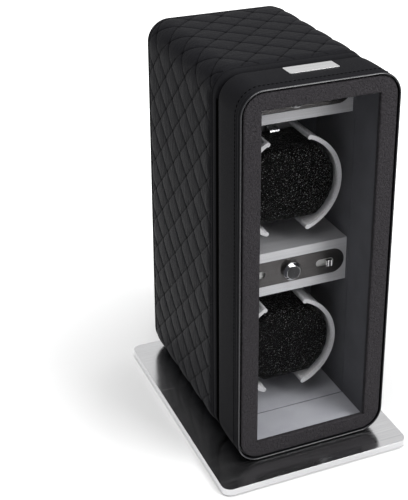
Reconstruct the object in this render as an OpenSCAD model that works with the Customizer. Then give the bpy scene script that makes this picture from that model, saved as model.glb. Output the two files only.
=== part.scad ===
// Watch winder box for two watches: a quilted cabinet on a metal base plate, with a deep hinged
// window door, two motor-driven cradles and a control block above each of them.
// Millimetres. +Z is up, the door faces -Y, and the origin is the middle of the footprint, on the floor.

/* [Box] */
// Width of the box
box_w = 115; // [112:0.5:130]
// Height of the box above its base plate
box_h = 278.4; // [270:0.2:300]
// Radius of the four long rounded edges
corner_r = 17; // [10:0.5:20]
// Depth of the cabinet behind the door
cabinet_d = 131.6; // [125:0.1:160]
// Thickness of the padded, quilted cover
cover_t = 3; // [2:0.1:4]
// Width of the smooth leather binding round the cabinet's front edge
binding_d = 9.3; // [6:0.1:14]
// Thickness of the leather on the cabinet's front edge and on the door
leather_t = 1.2; // [0.8:0.1:1.6]
// Thickness of the soft lining
lining_t = 1.2; // [0.8:0.1:1.6]

/* [Base plate] */
// Width of the base plate
plate_w = 144.4; // [140:0.2:170]
// Depth of the base plate
plate_d = 194.5; // [190:0.5:225]
// Thickness of the base plate
plate_t = 4.9; // [3:0.1:8]
// Corner radius of the base plate
plate_r = 7; // [3:0.5:12]
// How far the plate stands out to the left of the box
plate_left = 18.9; // [12:0.1:24]
// How far the plate stands out in front of the door
plate_front = 20.9; // [15:0.1:24]
// Thickness of the pads under the plate
pad_t = 1.5; // [1:0.1:3]
// Radius of the pads
pad_r = 6; // [4:0.5:9]

/* [Interior] */
// Clear width between the side linings
bay_w = 89; // [88:0.5:92]
// Height of the lined floor
floor_z = 11; // [10:0.1:13]
// Height of the ceiling below the box's top
ceiling_drop = 12; // [10:0.1:14]
// Height of the control block between the compartments
block_h = 33.6; // [30:0.1:38]
// Height of the control block under the ceiling
top_block_h = 28.8; // [27:0.1:34]
// Depth of the compartments, from the cabinet's front to the inner back wall
bay_d = 53.1; // [52:0.1:60]
// Thickness of the inner back wall
wall_t = 5; // [4:0.5:6]
// Thickness of the rear panel
back_t = 4; // [3:0.5:5]

/* [Door] */
// Depth of the door
door_d = 36.3; // [30:0.1:40]
// Gap between the door and the cabinet
door_gap = 2.6; // [2.5:0.1:3.4]
// Clearance between the door and the base plate
door_lift = 0.8; // [0.5:0.1:1.5]
// Thickness of the padded face panel
face_t = 3.1; // [2:0.1:4]
// Gap between the door's rim and its face panel
rim_gap = 1.3; // [0.8:0.1:2]
// How far the face panel sits behind the rim
face_sink = 0.5; // [0.2:0.1:1]
// Width of the window
window_w = 84.8; // [80:0.2:86]
// Height of the window's lower edge
window_z = 15.1; // [14:0.1:18]
// Distance from the box's top to the window's upper edge
window_drop = 14.1; // [14:0.1:18]
// Thickness of the window pane
pane_t = 2; // [1.5:0.1:3]
// Width of the nameplate
name_w = 36; // [25:0.5:45]
// Depth of the nameplate
name_d = 12.2; // [8:0.1:14]
// Thickness of the nameplate
name_t = 0.9; // [0.6:0.1:1.2]
// Where the nameplate's middle lies, right of the door's middle
name_x = 3.8; // [-5:0.1:5]
// Distance from the door's front to the nameplate's middle
name_y = 25.3; // [22:0.1:26]

/* [Hinges] */
// Height of each hinge
hinge_h = 30; // [24:1:40]
// Distance from the box's top or bottom to the middle of a hinge
hinge_inset = 45; // [35:1:60]
// Radius of the hinge knuckles
knuckle_r = 2.5; // [2.2:0.1:2.6]
// Radius of the hinge pins
pin_r = 1.2; // [1:0.1:1.3]
// Thickness of the hinge leaves
leaf_t = 1; // [0.8:0.1:1.1]
// Width of the hinge leaves on the door and the cabinet
leaf_w = 10.5; // [8:0.5:11]
// Running clearance in the hinges and the spindle bushes
run_gap = 0.05; // [0.03:0.01:0.08]

/* [Control blocks] */
// Width of the control plate
panel_w = 85; // [80:0.5:86]
// Height of the control plate
panel_h = 19.1; // [17:0.1:22]
// Thickness of the control plate
panel_t = 0.9; // [0.6:0.1:1.2]
// Wall of the block's housing
housing_t = 1.6; // [1.2:0.1:2]
// How far the block's face sits behind the cabinet's front
block_sink = 0.5; // [0.3:0.1:2]
// Radius of the knob
knob_r = 7; // [5:0.1:8]
// Width of the bevel round the knob's turned face
knob_bevel_w = 1.6; // [0.8:0.1:2.4]
// Depth of the bevel round the knob's turned face
knob_bevel = 2; // [1:0.1:2.6]
// Length of the knob's cap
knob_l = 4.8; // [4.2:0.1:7]
// Radius of the knob's stem
stem_r = 3; // [2.5:0.1:3.5]
// Distance of each slide switch from the knob
slot_x = 27; // [24:0.5:29]
// Height of a slide switch's slot
slot_h = 5.6; // [5:0.1:7]
// Width of a slide lever
lever_w = 5; // [4:0.1:6]
// Travel of a slide lever
lever_travel = 5; // [4:0.5:7]

/* [Rotors] */
// How far the lower spindle lies above the middle of its compartment
lower_axis_up = 2.25; // [0:0.05:4]
// How far the upper spindle lies above the middle of its compartment
upper_axis_up = 0.05; // [0:0.05:4]
// Outer radius of the cradle's long arm
arm_r = 37; // [34:0.1:38]
// How much further out the short arm lies
arm_spread = 2.6; // [0:0.1:3]
// How far the front rim stands out from an arm
rim_w = 0.8; // [0.6:0.1:1.4]
// Wall of the cradle's arms
arm_t = 1.9; // [1.8:0.1:3]
// Depth of the cradle, from its rim to the back of its back plate
cradle_d = 44.4; // [40:0.2:46]
// Thickness of the cradle's back plate
disc_t = 2.4; // [2:0.1:3]
// Half angle of the cradle's long arm
long_arm = 70; // [65:1:72]
// Half angle of the cradle's short arm
short_arm = 60; // [55:1:68]
// Height of the cushion
cushion_h = 55.4; // [48:0.2:56]
// Clearance between the cushion's rounded ends and the arms
cushion_gap = 2.3; // [1.8:0.1:4]

/* [Drive] */
// Module of the drive gears
gear_m = 0.75; // [0.7:0.05:0.8]
// Teeth of the drive gear
gear_teeth = 48; // [44:1:50]
// Teeth of the motor's pinion
pinion_teeth = 16; // [14:1:18]
// Face width of the drive gear
gear_w = 5; // [4:0.5:6]
// Radius of the spindle
spindle_r = 2.5; // [2:0.1:3]
// Radius of the motor's shaft
shaft_r = 1.5; // [1.2:0.1:2]
// Radius of the motor's gearbox
motor_r = 12; // [10:0.5:13]
// Thickness of the bracket's sheet metal
bracket_t = 2; // [1.5:0.1:2.5]
// Clear space between the bracket's two plates
bracket_gap = 12; // [11:0.5:14]

/* [Hidden] */
$fn = 64;
EPS = 0.01;
SOFT = 0.3;

// Places of the box on the base plate
box_x = -plate_w / 2 + plate_left + box_w / 2;
box_y = -plate_d / 2 + plate_front;
box_z = pad_t + plate_t;

// Depths along Y, from the door's front
cab_y = door_d + door_gap;
case_y = cab_y + leather_t;
cab_end = cab_y + cabinet_d;
wall_y = cab_y + bay_d;
lip_y = door_d + 0.4;
panel_y = cab_end - 1 - back_t;

// Heights along Z, from the box's underside
ceiling_z = box_h - ceiling_drop;
bay_h = (ceiling_z - floor_z - block_h - top_block_h) / 2;
block_z = floor_z + bay_h;
top_block_z = ceiling_z - top_block_h;
lower_axis = floor_z + bay_h / 2 + lower_axis_up;
upper_axis = top_block_z - bay_h / 2 + upper_axis_up;

// Hinges, in the gap at the right
hinge_x = box_w / 2 + knuckle_r + 0.2;
hinge_y = door_d + door_gap / 2;
hinge_z = [hinge_inset, box_h - hinge_inset];

// Control blocks
block_y = cab_y + block_sink;
block_d = wall_y - block_y;
panel_sink = panel_t - 0.1;
face_w = 2.2;
board_y = block_y + 12.5;
board_t = 1.6;
board_inset = 6;
board_margin = 4;
rotary_w = 14;
neck_r = 5;
neck_l = 3;
slot_end = 2;
slot_w = lever_w + lever_travel + 2 * slot_end;
lever_rest = slot_x + lever_travel / 2;
lever_l = 2.6;
stem_w = 3.6;
stem_h = 1.8;
foot_l = 3;
cap_gap = 0.4;
shutter_t = 0.8;
shutter_gap = 0.2;
shutter_w = slot_w + lever_travel;

// Rotors
rim_y = cab_y + 0.5;
rim_t = 2.8;
bead_w = 0.7;
cradle_waist = 66;
window_r = 6;
window_x = 20;
disc_y = rim_y + cradle_d - disc_t;
hub_r = 8;
hub_end = wall_y - 3;
clip_t = 1;
clip_w = 7;
clip_top = 32.5;
cushion_r = arm_r - arm_t - cushion_gap;
cushion_y = rim_y + 0.6;
cushion_end = disc_y - clip_t - SOFT;
bore_r = spindle_r + run_gap;

// Gear train, between the two plates of the bracket
bracket_y = wall_y + wall_t;
bracket_end = bracket_y + 2 * bracket_t + bracket_gap;
gear_y = bracket_y + bracket_t + 3;
motor_x = gear_m * (gear_teeth + pinion_teeth) / 2 + 0.05;
gear_r = gear_m * gear_teeth / 2 + gear_m;
bush_wall = 1.5;
flange_t = 1;
bush_r = spindle_r + bush_wall;
flange_r = bush_r + bush_wall;
bracket_h = 28;
gearbox_l = 11;
motor_l = 16;
motor_cap_l = 3;
boss_r = 3.5;
wall_hole_r = hub_r;

// Screws
screw_r = 1.5;
wood_r = 1.25;
plate_screws = [for (x = [-1, 1], y = [0.2, 0.8]) [x * 36, cab_y + cabinet_d * y]];
panel_screws = [for (x = [-1, 1], z = [0.1, 0.5, 0.9]) [x * (box_w / 2 - cover_t - 4.6), box_h * z]];
magnet_r = 4;
magnet_t = 3;
pad_inset = 14;
strike_t = leather_t;
magnet_x = -(box_w / 2 + bay_w / 2) / 2;
magnet_z = [box_h * 0.16, box_h * 0.84];
plate_screw_l = plate_t + cover_t + 4.5;
panel_screw_l = back_t + 8;
hinge_screw_l = 9;
hinge_head_r = 2.1;

// Socket, vents and leads
jack_rise = 16;
jack_z = floor_z + jack_rise;
jack_r = 5;
jack_l = 8;
jack_rim_t = 0.9;
jack_rim_w = 1.6;
jack_nut_t = 2.5;
vent_w = 36;
vent_h = 2.6;
vent_pitch = 6;
lead_r = 1;
lead_x = -30;
lead_y = bracket_end + 16;
lead_hole_r = 4;
joint_r = 1.1;
terminal_l = 5;

// ---------- Helpers ----------

// Moves a piece drawn in the box's own frame onto the base plate.
module at_box() {
    translate([box_x, box_y, box_z]) children();
}

// Turns a 2D outline in X and Z into a solid that runs along Y from y0 to y1.
module along_y(y0, y1) {
    translate([0, y1, 0]) rotate([90, 0, 0]) linear_extrude(y1 - y0) children();
}

// Puts a solid drawn along +Z onto an axis that points along +Y through x, z.
module axis_y(x, y, z) {
    translate([x, y, z]) rotate([-90, 0, 0]) children();
}

// Rectangle with true round corners, centred in X, its lower edge at z0.
module round_rect(w, h, r, z0) {
    translate([-w / 2, z0 + r]) square([w, h - 2 * r]);
    translate([-w / 2 + r, z0]) square([w - 2 * r, h]);
    for (x = [-w / 2 + r, w / 2 - r], z = [z0 + r, z0 + h - r]) translate([x, z]) circle(r);
}

// The box's front outline, moved in by inset.
module box_outline(inset) {
    round_rect(box_w - 2 * inset, box_h - 2 * inset, corner_r - inset, inset);
}

// The door's front outline, which clears the base plate.
module door_outline(inset) {
    round_rect(box_w - 2 * inset, box_h - door_lift - 2 * inset, corner_r - inset, door_lift + inset);
}

// The clear space inside, moved out by grow.
module bay_outline(grow) {
    translate([-bay_w / 2 - grow, floor_z - grow]) square([bay_w + 2 * grow, ceiling_z - floor_z + 2 * grow]);
}

// A flat bar with round ends, centred on the origin.
module stadium(w, h) {
    square([w - h, h], center = true);
    for (x = [-1, 1]) translate([x * (w - h) / 2, 0]) circle(h / 2);
}

// A countersunk screw along +Z, its head's top at 0.
module screw(l, r, head) {
    translate([0, 0, head - r]) cylinder(r = r, h = l - head + r);
    cylinder(r1 = head, r2 = r, h = head - r);
}

// The hole that such a screw sits in.
module screw_hole(l, r, head) {
    translate([0, 0, -EPS]) cylinder(r = r, h = l + EPS);
    cylinder(r1 = head, r2 = r, h = head - r);
}

// ---------- Base ----------

module base_plate() {
    color("gainsboro") difference() {
        translate([0, 0, pad_t]) linear_extrude(plate_t) {
            square([plate_w - 2 * plate_r, plate_d], center = true);
            square([plate_w, plate_d - 2 * plate_r], center = true);
            for (x = [-1, 1], y = [-1, 1]) {
                translate([x * (plate_w / 2 - plate_r), y * (plate_d / 2 - plate_r)]) circle(plate_r);
            }
        }
        at_plate_screws() screw_hole(plate_t + 1, screw_r + 0.2, 3.2);
    }
}

// The screws' places in the plate's underside.
module at_plate_screws() {
    for (p = plate_screws) translate([box_x + p[0], box_y + p[1], pad_t]) children();
}

module base_pads() {
    color("dimgray") for (x = [-1, 1], y = [-1, 1]) {
        translate([x * (plate_w / 2 - pad_inset), y * (plate_d / 2 - pad_inset), 0]) cylinder(r = pad_r, h = pad_t);
    }
}

module base_screws() {
    color("silver") at_plate_screws() screw(plate_screw_l, screw_r, 2 * screw_r);
}

// ---------- Cabinet ----------

module cabinet_shell() {
    color("burlywood") difference() {
        at_box() {
            difference() {
                along_y(case_y, panel_y) difference() {
                    box_outline(cover_t);
                    bay_outline(lining_t);
                }
                for (p = panel_screws) {
                    axis_y(p[0], panel_y + back_t - panel_screw_l - 1, p[1]) cylinder(r = wood_r, h = panel_screw_l);
                }
                for (z = hinge_z) at_leaf_screws(z) axis_y(0, cab_y, 0) cylinder(r = wood_r, h = hinge_screw_l);
            }
        }
        at_plate_screws() cylinder(r = screw_r, h = plate_screw_l + 0.5);
    }
}

module quilted_cover() {
    color([0.16, 0.16, 0.17]) difference() {
        at_box() along_y(cab_y + binding_d, cab_end) difference() {
            box_outline(0);
            box_outline(cover_t);
        }
        at_plate_screws() cylinder(r = screw_r + 0.1, h = plate_t + cover_t + 1);
    }
}

module front_binding() {
    color([0.14, 0.14, 0.15]) at_box() difference() {
        union() {
            along_y(cab_y, cab_y + binding_d) difference() {
                box_outline(0.4);
                box_outline(cover_t);
            }
            along_y(cab_y, case_y) difference() {
                box_outline(0.4);
                bay_outline(lining_t);
            }
        }
        for (z = magnet_z) axis_y(magnet_x, cab_y - 1, z) cylinder(r = magnet_r + 0.05, h = leather_t + 2);
        for (z = hinge_z) at_leaf_screws(z) axis_y(0, cab_y - 1, 0) cylinder(r = wood_r, h = 3);
    }
}

module back_panel() {
    color([0.2, 0.2, 0.21]) at_box() difference() {
        along_y(panel_y, panel_y + back_t) difference() {
            box_outline(cover_t + SOFT);
            translate([0, jack_z]) circle(jack_r + 0.1);
            for (z = [lower_axis, upper_axis], i = [-3:3]) translate([0, z + i * vent_pitch]) stadium(vent_w, vent_h);
        }
        for (p = panel_screws) {
            translate([p[0], panel_y + back_t, p[1]]) rotate([90, 0, 0]) screw_hole(back_t + 1, screw_r, 2.8);
        }
    }
}

module back_screws() {
    color("dimgray") at_box() for (p = panel_screws) {
        translate([p[0], panel_y + back_t, p[1]]) rotate([90, 0, 0]) screw(panel_screw_l, wood_r, 2.6);
    }
}

// Panel socket for a barrel plug, with its nut inside the panel.
module power_socket() {
    color([0.1, 0.1, 0.1]) at_box() axis_y(0, panel_y - jack_l, jack_z) difference() {
        union() {
            cylinder(r = jack_r, h = back_t + jack_l);
            translate([0, 0, back_t + jack_l]) cylinder(r = jack_r + jack_rim_w, h = jack_rim_t);
            translate([0, 0, jack_l - jack_nut_t]) cylinder(r = jack_r + 1.5 * jack_rim_w, h = jack_nut_t, $fn = 6);
        }
        translate([0, 0, jack_nut_t]) difference() {
            cylinder(r = 3.2, h = back_t + jack_l);
            cylinder(r = 1, h = back_t + jack_l / 2);
        }
    }
}

module side_linings() {
    color([0.3, 0.3, 0.33]) at_box() for (s = [0, 1]) mirror([s, 0, 0]) {
        translate([bay_w / 2, lip_y, floor_z - lining_t]) {
            cube([lining_t, wall_y - lip_y, ceiling_z - floor_z + 2 * lining_t]);
        }
    }
}

module floor_lining() {
    color([0.6, 0.6, 0.61]) at_box() translate([-bay_w / 2, lip_y, floor_z - lining_t]) {
        cube([bay_w, wall_y - lip_y, lining_t]);
    }
}

module inner_back_wall() {
    color([0.35, 0.35, 0.37]) at_box() along_y(wall_y, wall_y + wall_t) difference() {
        bay_outline(lining_t);
        for (z = [lower_axis, upper_axis]) translate([0, z]) circle(wall_hole_r);
        for (z = [block_z, top_block_z]) translate([lead_x, z + block_h / 2]) circle(lead_hole_r);
        for (z = [lower_axis, upper_axis]) bracket_screw_holes(z);
    }
}

module strike_plates() {
    color("silver") at_box() for (z = magnet_z) axis_y(magnet_x, cab_y, z) cylinder(r = magnet_r, h = strike_t);
}

// Leads from the power socket to the two circuit boards and from each board to its motor.
module wiring() {
    color([0.5, 0.1, 0.1]) at_box() {
        feed_y = panel_y - jack_l - joint_r - 0.1;
        terminal_y = bracket_end + gearbox_l + motor_l + terminal_l + joint_r + 0.1;
        for (z = [block_z, top_block_z]) {
            wire([[lead_x, board_y + board_t + joint_r, z + block_h / 2], [lead_x, lead_y, z + block_h / 2]]);
        }
        wire([[0, feed_y, jack_z], [lead_x, feed_y - 2 * jack_nut_t, jack_z + jack_rise],
            [lead_x, lead_y, block_z + block_h / 2], [lead_x, lead_y, top_block_z + block_h / 2]]);
        for (b = [[block_z, lower_axis], [top_block_z, upper_axis]]) {
            wire([[lead_x, lead_y, b[0] + block_h / 2], [motor_x - motor_r / 2, terminal_y, b[1]]]);
        }
    }
}

module wire(points) {
    for (i = [0:len(points) - 2]) {
        d = points[i + 1] - points[i];
        translate(points[i]) rotate([0, acos(d[2] / norm(d)), atan2(d[1], d[0])]) {
            cylinder(r = lead_r, h = norm(d), $fn = 16);
        }
        translate(points[i]) sphere(joint_r, $fn = 16);
        translate(points[i + 1]) sphere(joint_r, $fn = 16);
    }
}

// ---------- Control blocks ----------

// The block's housing, open at the rear, with a sunk place for the control plate.
module control_housing(z, h) {
    mid = z + block_h / 2;
    color("silver") at_box() difference() {
        translate([-bay_w / 2 + 0.2, block_y, z]) cube([bay_w - 0.4, block_d, h]);
        translate([-bay_w / 2 + 0.2 + housing_t, block_y + face_w, z + housing_t]) {
            cube([bay_w - 0.4 - 2 * housing_t, block_d, h - 2 * housing_t]);
        }
        along_y(block_y - 1, block_y + panel_sink) translate([0, mid]) stadium(panel_w + 0.1, panel_h + 0.1);
        axis_y(0, block_y, mid) cylinder(r = stem_r + 0.6, h = face_w + 1);
        along_y(block_y, block_y + face_w + 1) for (x = [-slot_x, slot_x]) {
            translate([x, mid]) stadium(slot_w + 1.6, slot_h + 1.6);
        }
    }
}

module lower_control_housing() { control_housing(block_z, block_h); }
module upper_control_housing() { control_housing(top_block_z, ceiling_z - top_block_z); }

// The dark control plate, with its knob hole and two slots.
module control_plate(z) {
    color([0.33, 0.32, 0.32]) at_box() along_y(block_y + panel_sink - panel_t, block_y + panel_sink) {
        translate([0, z + block_h / 2]) difference() {
            stadium(panel_w, panel_h);
            circle(stem_r + 0.3);
            for (x = [-slot_x, slot_x]) translate([x, 0]) stadium(slot_w, slot_h);
        }
    }
}

module lower_control_plate() { control_plate(block_z); }
module upper_control_plate() { control_plate(top_block_z); }

// The knob: a cap with a hollow turned face inside a deep bevel, on a long stem.
module knob(z) {
    cap_y = block_y - cap_gap - knob_l;
    knob_face_r = knob_r - knob_bevel_w;
    color("lightgray") at_box() axis_y(0, cap_y, z + block_h / 2) rotate_extrude() polygon([
        [0, 0.5], [knob_face_r - 0.5, 0.15], [knob_face_r - 0.3, 0], [knob_face_r, 0.2],
        [knob_r - 0.3, knob_bevel - 0.2], [knob_r, knob_bevel + 0.2], [knob_r, knob_l - 1],
        [knob_r - 0.5, knob_l - 0.6], [knob_r - 0.5, knob_l], [stem_r, knob_l],
        [stem_r, board_y - cap_y - 1.5], [0, board_y - cap_y - 1.5]]);
}

module lower_knob() { knob(block_z); }
module upper_knob() { knob(top_block_z); }

// A slide lever: a ribbed tab in front of the plate, a stem through the slot and a shutter that fills it from behind.
module slide_lever(z, side) {
    cap_y = block_y - cap_gap - lever_l;
    foot_y = block_y + face_w + shutter_gap;
    color("lightgray") at_box() translate([side * lever_rest, 0, z + block_h / 2]) {
        difference() {
            translate([-lever_w / 2, cap_y, -lever_w / 2]) cube([lever_w, lever_l, lever_w]);
            for (x = [-1, 1]) translate([x * lever_w / 4, cap_y, 0]) cube([0.7, 0.8, lever_w + 1], center = true);
        }
        translate([-stem_w / 2, cap_y + lever_l, -stem_h / 2]) cube([stem_w, foot_y - cap_y - lever_l, stem_h]);
        translate([-shutter_w / 2, foot_y, -slot_h / 2 - 0.5]) cube([shutter_w, shutter_t, slot_h + 1]);
        translate([-stem_w / 2, foot_y, -stem_h]) cube([stem_w, foot_l, 2 * stem_h]);
    }
}

module lower_left_slide() { slide_lever(block_z, -1); }
module lower_right_slide() { slide_lever(block_z, 1); }
module upper_left_slide() { slide_lever(top_block_z, -1); }
module upper_right_slide() { slide_lever(top_block_z, 1); }

// Two switch bodies between the housing's face and the circuit board, each hollowed for its lever's shutter.
module slide_switches(z) {
    body_y = block_y + face_w;
    path = shutter_w + lever_travel + 2 * shutter_gap;
    wall = 1.2;
    foot_w = stem_w + lever_travel + 2 * shutter_gap;
    color("white") at_box() for (x = [-slot_x, slot_x]) translate([x, 0, z + block_h / 2]) difference() {
        translate([-path / 2 - wall, body_y, -slot_h / 2 - 2 * wall]) {
            cube([path + 2 * wall, board_y - body_y, slot_h + 4 * wall]);
        }
        translate([-path / 2, body_y - 1, -slot_h / 2 - 0.7]) cube([path, shutter_t + 2 * shutter_gap + 1, slot_h + 1.4]);
        translate([-foot_w / 2, body_y, -stem_h - shutter_gap]) {
            cube([foot_w, shutter_gap + foot_l + 0.5, 2 * stem_h + 2 * shutter_gap]);
        }
    }
}

module lower_slide_switches() { slide_switches(block_z); }
module upper_slide_switches() { slide_switches(top_block_z); }

// The rotary switch behind the knob, with a threaded neck against the housing.
module rotary_switch(z) {
    neck_y = block_y + face_w;
    color("dimgray") at_box() difference() {
        union() {
            axis_y(0, neck_y, z + block_h / 2) cylinder(r = neck_r, h = neck_l);
            translate([-rotary_w / 2, neck_y + neck_l, z + (block_h - rotary_w) / 2]) {
                cube([rotary_w, board_y - neck_y - neck_l, rotary_w]);
            }
        }
        axis_y(0, neck_y - 1, z + block_h / 2) cylinder(r = stem_r + run_gap, h = board_y - neck_y);
    }
}

module lower_rotary_switch() { rotary_switch(block_z); }
module upper_rotary_switch() { rotary_switch(top_block_z); }

module circuit_board(z, h) {
    color("darkgreen") at_box() translate([-bay_w / 2 + board_inset, board_y, z + board_margin]) {
        cube([bay_w - 2 * board_inset, board_t, h - 2 * board_margin]);
    }
}

module lower_circuit_board() { circuit_board(block_z, block_h); }
module upper_circuit_board() { circuit_board(top_block_z, ceiling_z - top_block_z); }

// ---------- Rotors ----------

// A stretch of a ring that reaches half an angle to either side of +X.
module ring_sector(in_r, out_r, half) {
    far = 2 * out_r;
    intersection() {
        difference() {
            circle(out_r);
            circle(in_r);
        }
        polygon([[0, 0], [far * cos(half), -far * sin(half)], [far, -far * sin(half)],
            [far, far * sin(half)], [far * cos(half), far * sin(half)]]);
    }
}

// One arm of the cradle: a curved wall with a stepped front rim and a bead along both ends.
module arm(out_r, half) {
    in_r = out_r - arm_t;
    linear_extrude(cradle_d) {
        ring_sector(in_r, out_r, half);
        for (a = [-half, half]) rotate(a) translate([out_r - arm_t / 2, 0]) circle(arm_t / 2 + bead_w);
    }
    linear_extrude(rim_t / 3) ring_sector(in_r, out_r + rim_w, half);
    translate([0, 0, rim_t / 3]) linear_extrude(rim_t * 2 / 3) ring_sector(in_r - rim_w / 2, out_r + rim_w, half);
}

// The cradle: back plate with cut-outs and hub, and two arms that hold the cushion.
module cradle(z) {
    color([0.72, 0.72, 0.73]) at_box() axis_y(0, rim_y, z) difference() {
        union() {
            translate([0, 0, cradle_d - disc_t]) linear_extrude(disc_t) intersection() {
                union() {
                    circle(arm_r - arm_t / 2);
                    rotate(180) ring_sector(hub_r, arm_r + arm_spread - arm_t / 2, short_arm);
                }
                square([3 * arm_r, cradle_waist], center = true);
            }
            translate([0, 0, cradle_d - EPS]) cylinder(r = hub_r - 0.4, h = hub_end - rim_y - cradle_d + EPS);
            arm(arm_r, long_arm);
            rotate([0, 0, 180]) arm(arm_r + arm_spread, short_arm);
        }
        cylinder(r = spindle_r, h = 3 * cradle_d);
        for (x = [-window_x, window_x]) translate([x, 0, 0]) cylinder(r = window_r, h = 2 * cradle_d);
    }
}

module lower_cradle() { cradle(lower_axis); }
module upper_cradle() { cradle(upper_axis); }

// The cushion: a pad with flat faces and round ends that fill the cradle.
module cushion(z) {
    color([0.09, 0.09, 0.09]) at_box() axis_y(0, cushion_y, z) intersection() {
        cylinder(r = cushion_r, h = cushion_end - cushion_y);
        cube([3 * cushion_r, cushion_h, 3 * cradle_d], center = true);
    }
}

module lower_cushion() { cushion(lower_axis); }
module upper_cushion() { cushion(upper_axis); }

// A bent spring tongue on the cradle's back plate that reaches over the cushion.
module cushion_clip(z) {
    top = clip_top;
    tip = cushion_h / 2 + 1.2;
    foot = cushion_h / 2 - clip_w;
    color("gainsboro") at_box() translate([-clip_w / 2, disc_y, z]) rotate([90, 0, 90]) linear_extrude(clip_w) polygon([
        [0, foot], [0, top], [-clip_w, top], [-12, tip + clip_t], [-12.5, tip], [-11.4, tip - 0.2],
        [0.2 - clip_w, top - clip_t], [-clip_t, top - clip_t], [-clip_t, foot]]);
}

module lower_cushion_clip() { cushion_clip(lower_axis); }
module upper_cushion_clip() { cushion_clip(upper_axis); }

// ---------- Drive ----------

module spindle(z) {
    color("silver") at_box() axis_y(0, disc_y + 0.4, z) cylinder(r = spindle_r, h = bracket_end + 2 - disc_y);
}

module lower_spindle() { spindle(lower_axis); }
module upper_spindle() { spindle(upper_axis); }

// Four flanged bushes, one in each plate of both brackets.
module spindle_bushes() {
    color("goldenrod") at_box() for (z = [lower_axis, upper_axis]) {
        bush(z, bracket_y - flange_t, 1, 0);
        bush(z, bracket_end - bracket_t - flange_t, 0, 1);
    }
}

module bush(z, y, front, rear) {
    axis_y(0, y, z) difference() {
        union() {
            translate([0, 0, (1 - front) * flange_t]) cylinder(r = bush_r, h = bracket_t + (front + rear) * flange_t);
            translate([0, 0, rear * (bracket_t + flange_t)]) cylinder(r = flange_r, h = flange_t);
        }
        translate([0, 0, -1]) cylinder(r = bore_r, h = bracket_t + 3 * flange_t + 1);
    }
}

function inv(a) = tan(a) - a * PI / 180;

// Half the angle of a tooth at radius r, for an involute flank and a little backlash.
function tooth_half(r, teeth, m) = let (p = m * teeth / 2, b = p * cos(20), a = r > b ? acos(b / r) : 0)
    90 / teeth - 0.07 / p * 180 / PI + (inv(20) - inv(a)) * 180 / PI;

// Outline of a spur gear: root, involute flanks and tip of each tooth in turn.
function gear_points(teeth, m) = let (p = m * teeth / 2, radii = [p - 1.2 * m, p - 0.5 * m, p, p + 0.45 * m, p + 0.9 * m])
    [for (i = [0:teeth - 1], s = [-1, 1], k = [0:4]) let (r = radii[s < 0 ? k : 4 - k],
        a = 360 * i / teeth + s * tooth_half(r, teeth, m)) [r * cos(a), r * sin(a)]];

module drive_gear(z) {
    color("ivory") at_box() axis_y(0, gear_y, z) difference() {
        union() {
            linear_extrude(gear_w) polygon(gear_points(gear_teeth, gear_m));
            cylinder(r = 6, h = gear_w + 2);
        }
        translate([0, 0, -1]) cylinder(r = spindle_r, h = gear_w + 4);
        for (a = [0:60:300]) rotate([0, 0, a]) translate([11, 0, -1]) cylinder(r = 3, h = gear_w + 2);
    }
}

module lower_drive_gear() { drive_gear(lower_axis); }
module upper_drive_gear() { drive_gear(upper_axis); }

// The pinion and the motor shaft that it is cut on.
module pinion(z) {
    color("goldenrod") at_box() axis_y(motor_x, gear_y - 0.5, z) {
        linear_extrude(gear_w + 1) rotate(180 / pinion_teeth) polygon(gear_points(pinion_teeth, gear_m));
        cylinder(r = shaft_r, h = bracket_end - gear_y + 9);
    }
}

module lower_pinion() { pinion(lower_axis); }
module upper_pinion() { pinion(upper_axis); }

// The gear motor: gearbox, can and end cap, with a boss for its shaft and two terminals.
module motor(z) {
    color([0.55, 0.56, 0.58]) at_box() axis_y(motor_x, bracket_end, z) difference() {
        union() {
            translate([0, 0, -bracket_t]) cylinder(r = boss_r, h = bracket_t + 1);
            cylinder(r = motor_r, h = gearbox_l);
            translate([0, 0, gearbox_l]) cylinder(r = motor_r - 2, h = motor_l);
            translate([0, 0, gearbox_l + motor_l]) cylinder(r = motor_r - 5, h = motor_cap_l);
            for (x = [-motor_r / 2, motor_r / 2]) {
                translate([x - 1.2, -0.3, gearbox_l + motor_l - 1]) cube([2.4, 0.6, terminal_l + 1]);
            }
        }
        translate([0, 0, -bracket_t - 1]) cylinder(r = shaft_r + run_gap, h = bracket_t + 10);
    }
}

module lower_motor() { motor(lower_axis); }
module upper_motor() { motor(upper_axis); }

// A folded bracket on the inner back wall: two plates joined by a web at each end.
module motor_brackets() {
    left = -gear_r - 3.5;
    right = motor_x + motor_r + 1;
    color("silver") at_box() for (z = [lower_axis, upper_axis]) difference() {
        translate([left, bracket_y, z - bracket_h / 2]) cube([right - left, bracket_end - bracket_y, bracket_h]);
        translate([left + bracket_t, bracket_y + bracket_t, z - bracket_h / 2 - 1]) {
            cube([right - left - 2 * bracket_t, bracket_gap, bracket_h + 2]);
        }
        axis_y(0, bracket_y - 1, z) cylinder(r = bush_r, h = bracket_end - bracket_y + 2);
        axis_y(motor_x, bracket_end - bracket_t - 1, z) cylinder(r = boss_r + 0.1, h = bracket_t + 2);
        at_bracket_screws(z) cylinder(r = screw_r, h = bracket_t + 2);
    }
}

// Four screw places in the bracket's front plate, reached past the gear.
module at_bracket_screws(z) {
    for (x = [-gear_r + 2, motor_x + 8], s = [-1, 1]) {
        translate([x, bracket_y + bracket_t + 1, z + s * 11]) rotate([90, 0, 0]) children();
    }
}

// The same places on a face in X and Z.
module bracket_screw_holes(z) {
    for (x = [-gear_r + 2, motor_x + 8], s = [-1, 1]) translate([x, z + s * 11]) circle(wood_r);
}

module bracket_screws() {
    color("dimgray") at_box() for (z = [lower_axis, upper_axis]) at_bracket_screws(z) {
        cylinder(r = 2.6, h = 1);
        cylinder(r = screw_r, h = bracket_t + 1);
        cylinder(r = wood_r, h = bracket_t + wall_t - 0.5);
    }
}

// ---------- Door ----------

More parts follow.
